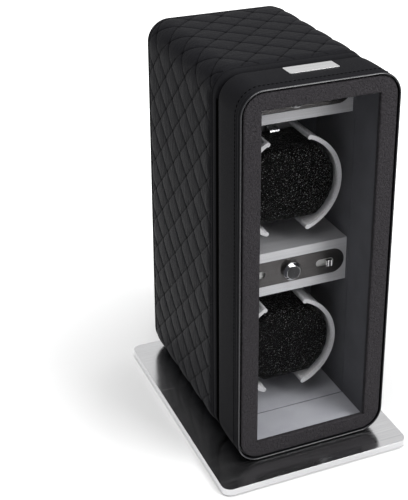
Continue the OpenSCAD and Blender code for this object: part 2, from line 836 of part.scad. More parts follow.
module door_frame() {
    color("burlywood") at_box() difference() {
        along_y(face_sink + face_t, door_d - leather_t) difference() {
            door_outline(leather_t);
            bay_outline(lining_t);
        }
        for (z = magnet_z) axis_y(magnet_x, door_d - magnet_t, z) cylinder(r = magnet_r, h = magnet_t + 1);
        for (z = hinge_z) at_leaf_screws(z) {
            axis_y(0, door_d + leaf_t - hinge_screw_l - 1, 0) cylinder(r = wood_r, h = hinge_screw_l + 1);
        }
    }
}

// Leather that wraps the door's sides and turns over its rear edge.
module door_cover() {
    color([0.14, 0.14, 0.15]) at_box() difference() {
        union() {
            along_y(0, door_d) difference() {
                door_outline(0);
                door_outline(leather_t);
            }
            along_y(door_d - leather_t, door_d) difference() {
                door_outline(leather_t / 2);
                bay_outline(lining_t);
            }
        }
        for (z = magnet_z) axis_y(magnet_x, door_d - 2 * leather_t, z) cylinder(r = magnet_r, h = 4 * leather_t);
        for (z = hinge_z) at_leaf_screws(z) axis_y(0, door_d - 3, 0) cylinder(r = wood_r, h = 4);
    }
}

module door_face() {
    color([0.28, 0.27, 0.29]) at_box() along_y(face_sink, face_sink + face_t) difference() {
        door_outline(leather_t + rim_gap);
        translate([-window_w / 2, window_z]) square([window_w, box_h - window_drop - window_z]);
    }
}

module window_pane() {
    color([0.8, 0.85, 0.88, 0.3]) at_box() along_y(face_sink + face_t, face_sink + face_t + pane_t) {
        bay_outline(lining_t - 0.2);
    }
}

module door_lining() {
    color([0.35, 0.35, 0.38]) at_box() along_y(face_sink + face_t + pane_t, door_d) difference() {
        bay_outline(lining_t);
        bay_outline(0);
    }
}

module nameplate() {
    color("gainsboro") at_box() translate([name_x, name_y, box_h]) linear_extrude(name_t) {
        square([name_w - 2, name_d], center = true);
        square([name_w, name_d - 2], center = true);
        for (x = [-1, 1], y = [-1, 1]) translate([x * (name_w / 2 - 1), y * (name_d / 2 - 1)]) circle(1);
    }
}

module door_magnets() {
    color("silver") at_box() for (z = magnet_z) axis_y(magnet_x, door_d - magnet_t, z) cylinder(r = magnet_r, h = magnet_t);
}

// ---------- Hinges ----------

// One leaf: a plate between x0 and the box's side, and knuckles on the pin's axis for the given spans.
module hinge_leaf(z, y0, spans) {
    x0 = box_w / 2 - leaf_w - 0.3;
    difference() {
        union() {
            translate([x0, y0, z - hinge_h / 2]) cube([leaf_w, leaf_t, hinge_h]);
            for (s = spans) translate([0, 0, z + s[0]]) {
                translate([x0, y0, 0]) cube([hinge_x - x0, leaf_t, s[1] - s[0]]);
                translate([hinge_x, hinge_y, 0]) cylinder(r = knuckle_r, h = s[1] - s[0]);
            }
        }
        translate([hinge_x, hinge_y, z - hinge_h]) cylinder(r = pin_r + run_gap, h = 2 * hinge_h);
        at_leaf_screws(z) leaf_holes(y0);
    }
}

// Countersinks that open towards the other leaf.
module leaf_holes(y0) {
    if (y0 < hinge_y) axis_y(0, y0 - 1, 0) cylinder(r = wood_r, h = leaf_t + 2);
    if (y0 < hinge_y) translate([0, y0 + leaf_t, 0]) rotate([90, 0, 0]) cylinder(r1 = hinge_head_r + 0.1, r2 = wood_r, h = leaf_t);
    if (y0 > hinge_y) axis_y(0, y0 - 1, 0) cylinder(r = wood_r, h = leaf_t + 2);
    if (y0 > hinge_y) axis_y(0, y0, 0) cylinder(r1 = hinge_head_r + 0.1, r2 = wood_r, h = leaf_t);
}

// The two screw places of a leaf, on its middle line.
module at_leaf_screws(z) {
    for (s = [-1, 1]) translate([(box_w + bay_w) / 4 + 0.3, 0, z + s * hinge_h / 3.2]) children();
}

module cabinet_hinge_leaves() {
    third = hinge_h / 6;
    color("dimgray") at_box() for (z = hinge_z) {
        hinge_leaf(z, cab_y - leaf_t, [[-3 * third, -third - 0.15], [third + 0.15, 3 * third]]);
    }
}

module door_hinge_leaves() {
    third = hinge_h / 6;
    color("dimgray") at_box() for (z = hinge_z) hinge_leaf(z, door_d, [[-third + 0.15, third - 0.15]]);
}

module hinge_pins() {
    color("silver") at_box() for (z = hinge_z) {
        translate([hinge_x, hinge_y, z - hinge_h / 2 - 0.5]) cylinder(r = pin_r, h = hinge_h + 1);
        for (s = [-1, 1]) translate([hinge_x, hinge_y, z + s * (hinge_h / 2 + 0.5)]) cylinder(r = knuckle_r - 0.5, h = 1, center = true);
    }
}

module cabinet_hinge_screws() {
    color("silver") at_box() for (z = hinge_z) at_leaf_screws(z) axis_y(0, cab_y - leaf_t, 0) {
        cylinder(r1 = hinge_head_r, r2 = wood_r, h = leaf_t - 0.1);
        cylinder(r = wood_r - 0.02, h = hinge_screw_l);
    }
}

module door_hinge_screws() {
    color("silver") at_box() for (z = hinge_z) at_leaf_screws(z) translate([0, door_d + leaf_t, 0]) rotate([90, 0, 0]) {
        cylinder(r1 = hinge_head_r, r2 = wood_r, h = leaf_t - 0.1);
        cylinder(r = wood_r - 0.02, h = hinge_screw_l);
    }
}

base_plate();
base_pads();
base_screws();
cabinet_shell();
quilted_cover();
front_binding();
back_panel();
back_screws();
power_socket();
side_linings();
floor_lining();
inner_back_wall();
strike_plates();
wiring();
lower_control_housing();
upper_control_housing();
lower_control_plate();
upper_control_plate();
lower_knob();
upper_knob();
lower_left_slide();
lower_right_slide();
upper_left_slide();
upper_right_slide();
lower_slide_switches();
upper_slide_switches();
lower_rotary_switch();
upper_rotary_switch();
lower_circuit_board();
upper_circuit_board();
lower_cradle();
upper_cradle();
lower_cushion();
upper_cushion();
lower_cushion_clip();
upper_cushion_clip();
lower_spindle();
upper_spindle();
spindle_bushes();
lower_drive_gear();
upper_drive_gear();
lower_pinion();
upper_pinion();
lower_motor();
upper_motor();
motor_brackets();
bracket_screws();
door_frame();
door_cover();
door_face();
door_lining();
window_pane();
nameplate();
door_magnets();
cabinet_hinge_leaves();
door_hinge_leaves();
hinge_pins();
cabinet_hinge_screws();
door_hinge_screws();
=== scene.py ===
"""The looks of a watch winder box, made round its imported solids: a quilted leather cabinet on a brushed
plate, a padded window door, suede linings, pebbled cushions in moulded cradles, and metal controls."""

import math

import bmesh
import bpy
from mathutils import Matrix, Vector


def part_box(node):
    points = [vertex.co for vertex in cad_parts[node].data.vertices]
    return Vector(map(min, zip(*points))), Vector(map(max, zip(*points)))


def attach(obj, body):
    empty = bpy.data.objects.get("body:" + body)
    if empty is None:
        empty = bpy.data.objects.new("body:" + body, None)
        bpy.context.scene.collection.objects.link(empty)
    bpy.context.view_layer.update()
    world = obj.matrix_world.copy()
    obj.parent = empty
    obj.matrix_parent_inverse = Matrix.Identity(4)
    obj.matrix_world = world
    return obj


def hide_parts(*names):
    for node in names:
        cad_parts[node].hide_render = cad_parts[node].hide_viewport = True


MM = 0.001
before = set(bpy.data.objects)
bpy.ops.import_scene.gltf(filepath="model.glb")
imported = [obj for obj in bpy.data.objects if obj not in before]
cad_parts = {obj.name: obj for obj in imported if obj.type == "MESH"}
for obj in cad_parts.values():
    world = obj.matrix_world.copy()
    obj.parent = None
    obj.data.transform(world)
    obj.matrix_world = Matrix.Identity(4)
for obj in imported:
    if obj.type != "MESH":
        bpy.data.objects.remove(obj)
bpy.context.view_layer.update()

# ---------- Places taken from the solids ----------

COVER_LOW, COVER_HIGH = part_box("quilted_cover")
DOOR_LOW, DOOR_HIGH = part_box("door_cover")
BINDING_LOW, BINDING_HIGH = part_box("front_binding")
MIDDLE = (COVER_LOW.x + COVER_HIGH.x) / 2
FRONT = DOOR_LOW.y
UNDER = COVER_LOW.z
WIDE = (COVER_HIGH.x - COVER_LOW.x) / MM
HIGH = (COVER_HIGH.z - COVER_LOW.z) / MM
DOOR_LIFT = (DOOR_LOW.z - COVER_LOW.z) / MM
DOOR_DEEP = (DOOR_HIGH.y - DOOR_LOW.y) / MM
CABINET = (BINDING_LOW.y - FRONT) / MM
QUILT_FRONT = (BINDING_HIGH.y - FRONT) / MM
CABINET_END = (COVER_HIGH.y - FRONT) / MM
CORNER, HOLE_CORNER = 17.0, 0.6
LEVELS = ("lower", "upper")
# Openings, in millimetres from the box's middle and underside: left, right, bottom, top
BAY = (-44.5, 44.5, 11.0, 266.4)
WINDOW = (-42.4, 42.4, 15.1, 264.3)
CORNER_STEPS = 14


def spot(x, y, z):
    """A point given in millimetres from the box's middle, the door's front and the box's underside."""
    return Vector((MIDDLE + x * MM, FRONT + y * MM, UNDER + z * MM))


# ---------- Bench tools ----------


def clear_selection():
    """Leaves nothing selected, in object mode."""
    if bpy.context.object and bpy.context.object.mode != "OBJECT":
        bpy.ops.object.mode_set(mode="OBJECT")
    bpy.ops.object.select_all(action="DESELECT")


def only(obj):
    """Leaves one object selected and active."""
    clear_selection()
    obj.select_set(True)
    bpy.context.view_layer.objects.active = obj


def named(name):
    obj = bpy.context.object
    obj.name = obj.data.name = name
    return obj


def edit(obj):
    only(obj)
    bpy.ops.object.mode_set(mode="EDIT")
    return bmesh.from_edit_mesh(obj.data)


def leave_edit(obj):
    bmesh.update_edit_mesh(obj.data)
    bpy.ops.object.mode_set(mode="OBJECT")


def smooth(obj, degrees):
    only(obj)
    bpy.ops.object.shade_smooth_by_angle(angle=math.radians(degrees))


def apply_modifier(obj, kind, **settings):
    only(obj)
    modifier = obj.modifiers.new(kind.title(), kind)
    for key, value in settings.items():
        setattr(modifier, key, value)
    bpy.ops.object.modifier_apply(modifier=modifier.name)


def set_in_place(obj, body, slot, material, *nodes):
    """Gives a finished piece its material, the body that it rides on and the nodes that it stands for."""
    obj.data.materials.clear()
    obj.data.materials.append(material)
    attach(obj, body)
    if nodes:
        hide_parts(*nodes)
    return obj


# ---------- Outlines swept round the box ----------


def box_station(inset, y, low=0.0):
    """The box's rounded outline at a depth, moved in by an inset: left, right, bottom, top, radius, depth."""
    return (-WIDE / 2 + inset, WIDE / 2 - inset, low + inset, HIGH - inset, CORNER - inset, y)


def hole_station(hole, grow, y):
    """The outline of an opening at a depth, grown on all sides."""
    left, right, low, high = hole
    return (left - grow, right + grow, low - grow, high + grow, HOLE_CORNER, y)


def add_outline(station, number):
    """Adds one rounded rectangle of edges to the mesh in edit mode and numbers its points."""
    left, right, low, high, corner, y = station
    centre = spot((left + right) / 2, y, (low + high) / 2)
    bpy.ops.mesh.select_all(action="DESELECT")
    bpy.ops.mesh.primitive_plane_add(size=1, location=centre, rotation=(math.pi / 2, 0, 0))
    bpy.ops.transform.resize(value=((right - left) * MM, 1, (high - low) * MM), center_override=centre)
    bpy.ops.mesh.bevel(offset=corner * MM, segments=CORNER_STEPS, affect="VERTICES", profile=0.5)
    bpy.ops.mesh.delete(type="ONLY_FACE")
    mesh = bmesh.from_edit_mesh(bpy.context.object.data)
    tag = mesh.verts.layers.int["station"]
    for vert in mesh.verts:
        if vert[tag] == 0:
            vert[tag] = number


def sweep(name, stations):
    """A closed shell through a row of outlines, bridged one to the next and the last back to the first."""
    clear_selection()
    bpy.ops.mesh.primitive_plane_add(size=1)
    obj = named(name)
    mesh = edit(obj)
    mesh.verts.layers.int.new("station")
    bmesh.update_edit_mesh(obj.data)
    bpy.ops.mesh.select_all(action="SELECT")
    bpy.ops.mesh.delete(type="VERT")
    for number, station in enumerate(stations, 1):
        add_outline(station, number)
    pairs = [(i, i + 1) for i in range(1, len(stations))] + [(len(stations), 1)]
    bpy.ops.mesh.select_mode(type="EDGE")
    for pair in pairs:
        bpy.ops.mesh.select_all(action="DESELECT")
        mesh = bmesh.from_edit_mesh(obj.data)
        tag = mesh.verts.layers.int["station"]
        for edge in mesh.edges:
            first, second = (vert[tag] for vert in edge.verts)
            edge.select_set(first == second and first in pair)
        bmesh.update_edit_mesh(obj.data)
        bpy.ops.mesh.bridge_edge_loops()
    bpy.ops.mesh.select_all(action="SELECT")
    bpy.ops.mesh.normals_make_consistent(inside=False)
    leave_edit(obj)
    smooth(obj, 42)
    apply_modifier(obj, "WEIGHTED_NORMAL", keep_sharp=True)
    return obj


# ---------- Copies of solids with eased edges ----------


MERGED_WITHIN = 0.002
FLAT_DEGREES = 0.5
SHARP_DEGREES = 38


def eased(node, name, width, segments=2):
    """A copy of a solid whose triangles are merged and whose sharp edges get a small round."""
    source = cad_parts[node]
    copy = source.copy()
    copy.data = source.data.copy()
    copy.name = copy.data.name = name
    bpy.context.collection.objects.link(copy)
    edit(copy)
    bpy.ops.mesh.select_all(action="SELECT")
    bpy.ops.mesh.remove_doubles(threshold=MERGED_WITHIN * MM)
    bpy.ops.mesh.dissolve_limited(angle_limit=math.radians(FLAT_DEGREES))
    leave_edit(copy)
    sharp = math.radians(SHARP_DEGREES)
    apply_modifier(copy, "BEVEL", width=width * MM, segments=segments, limit_method="ANGLE", angle_limit=sharp)
    smooth(copy, 30)
    apply_modifier(copy, "WEIGHTED_NORMAL", keep_sharp=True)
    return copy


# ---------- Materials ----------


class Finish:
    """A material whose nodes are added and linked by short calls."""

    def __init__(self, name, colour, roughness, metallic=0.0, specular=0.5, **sockets):
        self.material = bpy.data.materials.new(name)
        self.material.use_nodes = True
        self.tree = self.material.node_tree
        self.shader = self.tree.nodes["Principled BSDF"]
        self.set("Base Color", (*colour, 1))
        self.set("Roughness", roughness)
        self.set("Metallic", metallic)
        self.set("Specular IOR Level", specular)
        for key, value in sockets.items():
            self.set(key.replace("_", " "), value)
        self.coords = self.tree.nodes.new("ShaderNodeTexCoord").outputs["Object"]
        self.height = None

    def set(self, socket, value):
        self.shader.inputs[socket].default_value = value

    def node(self, kind, inputs=None, **settings):
        made = self.tree.nodes.new("ShaderNode" + kind)
        for key, value in settings.items():
            setattr(made, key, value)
        for key, value in (inputs or {}).items():
            if isinstance(value, bpy.types.NodeSocket):
                self.tree.links.new(value, made.inputs[key])
            else:
                made.inputs[key].default_value = value
        return made

    def stretched(self, scale):
        return self.node("Mapping", {"Vector": self.coords, "Scale": scale}).outputs["Vector"]

    def noise(self, scale, detail=3.0, roughness=0.5, vector=None):
        values = {"Vector": vector or self.coords, "Scale": scale, "Detail": detail, "Roughness": roughness}
        return self.node("TexNoise", values).outputs["Fac"]

    def cells(self, scale, vector=None):
        values = {"Vector": vector or self.coords, "Scale": scale}
        return self.node("TexVoronoi", values, feature="F1").outputs["Distance"]

    def ranged(self, value, low, high, to_low, to_high):
        values = {"Value": value, "From Min": low, "From Max": high, "To Min": to_low, "To Max": to_high}
        return self.node("MapRange", values).outputs["Result"]

    def maths(self, operation, first, second):
        return self.node("Math", {0: first, 1: second}, operation=operation).outputs[0]

    def blend(self, factor, first, second):
        values = {0: factor, 6: (*first, 1), 7: (*second, 1)}
        return self.node("Mix", values, data_type="RGBA").outputs[2]

    def bump(self, height, distance):
        """Adds a layer of relief, in millimetres, over what is there."""
        values = {"Height": height, "Distance": distance * MM, "Strength": 1.0}
        if self.height:
            values["Normal"] = self.height
        self.height = self.node("Bump", values).outputs["Normal"]
        self.link(self.height, "Normal")

    def link(self, output, socket):
        self.tree.links.new(output, self.shader.inputs[socket])


def leather(name, colour, highlight, roughness, cell, depth, specular, crease=0.0, seams=False, painted_glints=None):
    """Embossed leather: domed cells of grain, fine pores, soft creases, painted shade that darkens the leather
    near its seams, and painted glints as paler spots on the tops of the grain.

    The size of a cell and the depths of the grain and the creases are in millimetres."""
    finish = Finish(name, colour, roughness, specular=specular)
    per_metre = 1 / (cell * MM)
    warp = finish.noise(per_metre * 0.8, 3)
    grain = finish.maths("POWER", finish.cells(per_metre), 2.0)
    finish.bump(grain, -depth)
    finish.bump(finish.noise(per_metre * 2.6, 3), depth * 0.25)
    if crease:
        finish.bump(finish.noise(330, 3, 0.6, finish.stretched((0.3, 1, 0.3))), crease)
    shade = finish.blend(finish.ranged(warp, 0.3, 0.7, 0, 1), colour, highlight)
    # Painted glints: paler, patchy spots on the tops of long grain cells stand in for highlights on the pebbles.
    if painted_glints:
        long_cells = finish.cells(1, finish.stretched((0.6 * per_metre, per_metre, per_metre)))
        tops = finish.ranged(long_cells, 0.13, 0.24, 1, 0)
        patchy = finish.maths("MULTIPLY", tops, finish.ranged(finish.noise(per_metre * 0.5, 2), 0.4, 0.6, 0.1, 1))
        shade = finish.node("Mix", {0: patchy, 6: shade, 7: (*painted_glints, 1)}, data_type="RGBA").outputs[2]
    if seams:
        raised = finish.node("Attribute", attribute_name="raised").outputs["Fac"]
        gathers = finish.noise(420, 3, 0.6, finish.stretched((1, 1, 0.4)))
        finish.bump(finish.maths("MULTIPLY", gathers, finish.ranged(raised, 0.3, 1.0, 1, 0.2)), 0.9)
        # Painted shade: the leather's colour and gloss are darkened towards the seams, where the raised attribute
        # is low.
        painted_seam_shade = finish.ranged(raised, 0.15, 0.8, 0.06, 1.0)
        shade = finish.node("VectorMath", {0: shade, "Scale": painted_seam_shade}, operation="SCALE").outputs["Vector"]
        finish.link(finish.maths("MULTIPLY", painted_seam_shade, specular), "Specular IOR Level")
    finish.link(shade, "Base Color")
    uneven = finish.noise(per_metre * 0.9, 4)
    finish.link(finish.ranged(uneven, 0.3, 0.7, roughness - 0.07, roughness + 0.1), "Roughness")
    return finish.material


def suede(name, colour, pale):
    finish = Finish(name, colour, 0.95, specular=0.05, Sheen_Weight=0.1, Sheen_Roughness=0.5)
    nap = finish.noise(2600, 4, 0.7)
    patches = finish.noise(55, 3)
    finish.link(finish.blend(finish.ranged(patches, 0.35, 0.65, 0.1, 0.8), colour, pale), "Base Color")
    finish.bump(nap, 0.12)
    return finish.material


def brushed(name, colour, roughness, along, metallic=1.0, streak=0.12, depth=0.01, spread=0.0):
    """Metal with fine scratches along one axis, which smear what it mirrors across them."""
    finish = Finish(name, colour, roughness, metallic=metallic, Anisotropic=spread)
    if spread:
        across_grain = {"X": 0.0, "Y": 1.0, "Z": 0.0} if along == "X" else {"X": 1.0, "Y": 0.0, "Z": 0.0}
        finish.link(finish.node("CombineXYZ", across_grain).outputs["Vector"], "Tangent")
    across = tuple(30 if axis == along else 4200 for axis in "XYZ")
    lines = finish.noise(1, 4, 0.65, finish.stretched(across))
    broad = finish.noise(1, 3, 0.6, finish.stretched(tuple(value / 7 for value in across)))
    mixed = finish.maths("ADD", finish.maths("MULTIPLY", lines, 0.6), finish.maths("MULTIPLY", broad, 0.4))
    finish.link(finish.ranged(mixed, 0.3, 0.7, roughness - streak, roughness + streak), "Roughness")
    darker = tuple(value * 0.8 for value in colour)
    finish.link(finish.blend(finish.ranged(mixed, 0.35, 0.65, 0, 1), darker, colour), "Base Color")
    finish.bump(mixed, depth)
    return finish.material


def satin(name, colour, roughness, metallic=0.0, mottle=0.06, fine=900, depth=0.01):
    """Moulded plastic, paint or cast metal with a faint orange peel and uneven gloss."""
    finish = Finish(name, colour, roughness, metallic=metallic)
    peel = finish.noise(fine, 3)
    finish.link(finish.ranged(peel, 0.3, 0.7, roughness - mottle, roughness + mottle), "Roughness")
    darker = tuple(value * 0.88 for value in colour)
    finish.link(finish.blend(finish.ranged(finish.noise(60, 3), 0.3, 0.7, 0, 1), darker, colour), "Base Color")
    finish.bump(peel, depth)
    return finish.material


def spun(name, colour, roughness, centre):
    """Metal turned on a lathe, with rings about an axis along Y through a point."""
    finish = Finish(name, colour, roughness, metallic=1.0)
    moved = finish.node("Mapping", {"Vector": finish.coords, "Location": (-centre.x, -centre.y, -centre.z)})
    parts = finish.node("SeparateXYZ", {"Vector": moved.outputs["Vector"]}).outputs
    flat = finish.node("CombineXYZ", {"X": parts["X"], "Z": parts["Z"]}).outputs["Vector"]
    radius = finish.node("VectorMath", {0: flat}, operation="LENGTH").outputs["Value"]
    rings = finish.noise(5200, 2, 0.5, finish.node("CombineXYZ", {"X": radius}).outputs["Vector"])
    finish.link(finish.ranged(rings, 0.3, 0.7, roughness - 0.04, roughness + 0.05), "Roughness")
    finish.bump(rings, 0.02)
    finish.set("Anisotropic", 0.9)
    finish.link(flat, "Tangent")
    return finish.material


def clear_glass(name):
    finish = Finish(name, (0.02, 0.02, 0.02), 0.02, specular=0.03, Alpha=0.04)
    smear = finish.noise(40, 2)
    finish.link(finish.ranged(smear, 0.3, 0.7, 0.01, 0.05), "Roughness")
    return finish.material


def fibreboard(name):
    finish = Finish(name, (0.3, 0.22, 0.15), 0.85, specular=0.2)
    fibres = finish.noise(1, 5, 0.7, finish.stretched((900, 120, 900)))
    share = finish.ranged(fibres, 0.3, 0.7, 0, 1)
    finish.link(finish.blend(share, (0.24, 0.17, 0.11), (0.38, 0.29, 0.2)), "Base Color")
    finish.bump(fibres, 0.08)
    return finish.material


QUILT_LEATHER = leather(
    "quilt_leather",
    (0.005, 0.005, 0.006),
    (0.0075, 0.0075, 0.009),
    roughness=0.4,
    cell=0.75,
    depth=0.05,
    specular=0.022,
    crease=0.45,
    seams=True,
)
EDGE_LEATHER = leather(
    "edge_leather",
    (0.0062, 0.0062, 0.0072),
    (0.0088, 0.0088, 0.01),
    roughness=0.45,
    cell=0.7,
    depth=0.04,
    specular=0.01,
)
# The door's front rim: glossier leather, with a paler colour than the door's other leather as painted highlight.
RIM_LEATHER_PAINTED_HIGHLIGHT = leather(
    "glossy_rim_painted_highlight",
    (0.027, 0.027, 0.03),
    (0.04, 0.04, 0.044),
    roughness=0.22,
    cell=0.6,
    depth=0.02,
    specular=0.45,
)
FACE_LEATHER = leather(
    "face_leather",
    (0.021, 0.0195, 0.0215),
    (0.042, 0.039, 0.043),
    roughness=0.5,
    cell=1.0,
    depth=0.6,
    specular=0.04,
)
CUSHION_LEATHER = leather(
    "cushion_leather",
    (0.0004, 0.0004, 0.0004),
    (0.0008, 0.0008, 0.0008),
    roughness=0.24,
    cell=1.25,
    depth=0.9,
    specular=0.075,
    # The colour of the painted glints on the pebbles' grain.
    painted_glints=(0.22, 0.22, 0.225),
)
# Painted shade: a near-black matt colour for the faces that look into the door's gap.
PAINTED_GAP_SHADE = leather(
    "gap_shade_paint",
    (0.0015, 0.0015, 0.0015),
    (0.002, 0.002, 0.002),
    roughness=0.9,
    cell=0.6,
    depth=0.05,
    specular=0.0,
)
THREAD = leather(
    "stitch_thread",
    (0.001, 0.001, 0.001),
    (0.002, 0.002, 0.002),
    roughness=0.9,
    cell=0.3,
    depth=0.05,
    specular=0.0,
)
DARK_SUEDE = suede("dark_suede", (0.07, 0.071, 0.082), (0.088, 0.089, 0.102))
# A paler copy of the dark suede for the floor strips that face up: painted light falling from above.
PAINTED_LIGHT_SUEDE = suede("suede_painted_light", (0.37, 0.375, 0.41), (0.44, 0.445, 0.48))
PLATE_METAL = brushed("plate_metal", (0.65, 0.65, 0.66), 0.195, "X", streak=0.09, depth=0.004, spread=0.5)
BLOCK_METAL = brushed("block_metal", (0.56, 0.56, 0.58), 0.42, "X", metallic=0.35, streak=0.08, depth=0.02)
CONTROL_METAL = brushed("control_metal", (0.085, 0.081, 0.081), 0.34, "X", streak=0.05)
# A dark colour for the knobs' spun faces, standing in for the dark surroundings they mirror: painted dark
# reflection.
KNOB_FACE_PAINTED_DARK = (0.07, 0.07, 0.073)
CHROME = satin("chrome", (0.86, 0.86, 0.87), 0.08, metallic=1.0, mottle=0.03, depth=0.002)
CRADLE_PLASTIC = satin("cradle_plastic", (0.6, 0.6, 0.615), 0.28)
STEEL = brushed("bright_steel", (0.62, 0.62, 0.63), 0.3, "Z")
DARK_STEEL = satin("dark_steel", (0.03, 0.03, 0.032), 0.4)
NAME_METAL = brushed("name_metal", (0.75, 0.75, 0.755), 0.3, "X", streak=0.05)
GLASS = clear_glass("window_glass")
BOARD = fibreboard("board")
BLACK_PLASTIC = satin("black_plastic", (0.012, 0.012, 0.013), 0.5, fine=2200, depth=0.03)
WHITE_PLASTIC = satin("white_plastic", (0.75, 0.75, 0.74), 0.35)
BLACK_PAINT = satin("black_paint", (0.016, 0.016, 0.017), 0.55, fine=2600, depth=0.04)
RUBBER = satin("rubber", (0.03, 0.03, 0.03), 0.8, fine=1800, depth=0.06)
BRASS = satin("brass", (0.8, 0.58, 0.28), 0.3, metallic=1.0)
BOARD_RESIST = satin("board_resist", (0.01, 0.1, 0.04), 0.25)
LEAD_SLEEVE = satin("lead_sleeve", (0.25, 0.015, 0.015), 0.45)

FINISHES = {
    "base_pads": RUBBER,
    "base_screws": STEEL,
    "cabinet_shell": BOARD,
    "back_panel": BLACK_PAINT,
    "back_screws": DARK_STEEL,
    "power_socket": BLACK_PLASTIC,
    "strike_plates": STEEL,
    "wiring": LEAD_SLEEVE,
    "spindle_bushes": BRASS,
    "motor_brackets": STEEL,
    "bracket_screws": DARK_STEEL,
    # Black paint on the door frame also serves as painted shade in the groove between the door's rim and face
    # panel, where the frame shows.
    "door_frame": BLACK_PAINT,
    "door_magnets": STEEL,
    "window_pane": GLASS,
    "cabinet_hinge_leaves": DARK_STEEL,
    "door_hinge_leaves": DARK_STEEL,
    "hinge_pins": STEEL,
    "cabinet_hinge_screws": STEEL,
    "door_hinge_screws": STEEL,
}
for level in LEVELS:
    FINISHES[level + "_slide_switches"] = WHITE_PLASTIC
    FINISHES[level + "_rotary_switch"] = BLACK_PLASTIC
    FINISHES[level + "_circuit_board"] = BOARD_RESIST
    FINISHES[level + "_cushion_clip"] = STEEL
    FINISHES[level + "_spindle"] = STEEL
    FINISHES[level + "_drive_gear"] = WHITE_PLASTIC
    FINISHES[level + "_pinion"] = BRASS
    FINISHES[level + "_motor"] = STEEL


def finish_solids():
    for node, material in FINISHES.items():
        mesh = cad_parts[node].data
        mesh.materials.clear()
        mesh.materials.append(material)


# ---------- Quilted cover ----------

PITCH_SIDE, PITCH_TOP, PITCH_CORNER = 24.7, 25.6, 28.1
PITCH_DEEP = 25.5
NODE_HEIGHT, NODE_DEPTH = 135.5, 67.3
QUILT_END = CABINET_END - 6.0
SEAM_DEPTH, PUFF = 1.4, 0.85
SEAM_SPREAD = 0.65
DIAMOND_CUTS = 14
SIDE_OF_DIAMOND = 17.9
LEATHER = 0.9
STITCHES_PER_SIDE = 5
SWELL = 0.5
GATHER, ROUNDING = 0.8, 1e-5
FADE_WIDTH, FADE_POWER = 3.5, 2.2
STITCH_DIP, STITCH_TAPER = 0.45, 0.4
SPARE_SEAMS, AHEAD = 8, 0.02
ROW_MARGIN, COLUMN_MARGIN = 0.05, 0.08
DOOR_STITCHES = 252
DOOR_SEAM, DOOR_SEAM_LIFT = 8.05, 0.12

STRAIGHT_X, STRAIGHT_Z = WIDE / 2 - CORNER, HIGH - 2 * CORNER
QUARTER = math.pi / 2 * CORNER
STRETCHES = [
    (STRAIGHT_X, PITCH_TOP, False),
    (QUARTER, PITCH_CORNER, True),
    (STRAIGHT_Z, PITCH_SIDE, False),
    (QUARTER, PITCH_CORNER, True),
    (2 * STRAIGHT_X, PITCH_TOP, False),
    (QUARTER, PITCH_CORNER, True),
    (STRAIGHT_Z, PITCH_SIDE, False),
    (QUARTER, PITCH_CORNER, True),
    (STRAIGHT_X, PITCH_TOP, False),
]
ROW_START = -((NODE_HEIGHT - CORNER) / PITCH_SIDE + QUARTER / PITCH_CORNER + STRAIGHT_X / PITCH_TOP)
ROW_END = ROW_START + sum(length / pitch for length, pitch, _ in STRETCHES)
COLUMN_START = (QUILT_FRONT - NODE_DEPTH) / PITCH_DEEP
COLUMN_END = (QUILT_END - NODE_DEPTH) / PITCH_DEEP


def round_the_box(row, lift):
    """A place along the outline, counted in diamonds from a seam on the left side: x, z and its heading."""
    x, z, heading = 0.0, 0.0, math.pi
    left = row - ROW_START
    for length, pitch, is_corner in STRETCHES:
        share = min(max(left * pitch / length, 0.0), 1.0)
        left -= length / pitch
        if is_corner:
            middle = (x + CORNER * math.sin(heading), z - CORNER * math.cos(heading))
            heading -= share * math.pi / 2
            x = middle[0] - CORNER * math.sin(heading)
            z = middle[1] + CORNER * math.cos(heading)
        else:
            x += share * length * math.cos(heading)
            z += share * length * math.sin(heading)
        if left <= 0:
            break
    return x - lift * math.sin(heading), z + lift * math.cos(heading), heading


def flank(place):
    """How far the padding has risen from the nearest seam of one family."""
    away = abs(place - round(place)) * SIDE_OF_DIAMOND
    return 1 - math.exp(-away / SEAM_SPREAD)


def puff_height(row, column):
    first, second = row + column, row - column
    dome = abs(math.sin(math.pi * first) * math.sin(math.pi * second))
    return PUFF * flank(first) * flank(second) + SWELL * dome**0.7


def edge_fade(y):
    """How much of the padding is left near the sheet's front and rear edges."""
    near = min(y - QUILT_FRONT, QUILT_END - y)
    return 1 - (1 - min(max(near / FADE_WIDTH, 0), 1)) ** FADE_POWER


def on_quilt(row, column):
    """A point of the padded leather, and the way that it faces there."""
    y = NODE_DEPTH + column * PITCH_DEEP
    x, z, heading = round_the_box(row, puff_height(row, column) * edge_fade(y) - SEAM_DEPTH)
    return spot(x, y, z), Vector((-math.sin(heading), 0, math.cos(heading)))


def gathered(place):
    """Draws the cuts of a diamond towards its seams."""
    whole = math.floor(place + ROUNDING)
    part = place - whole
    return whole + part - GATHER * math.sin(2 * math.pi * part) / (2 * math.pi)


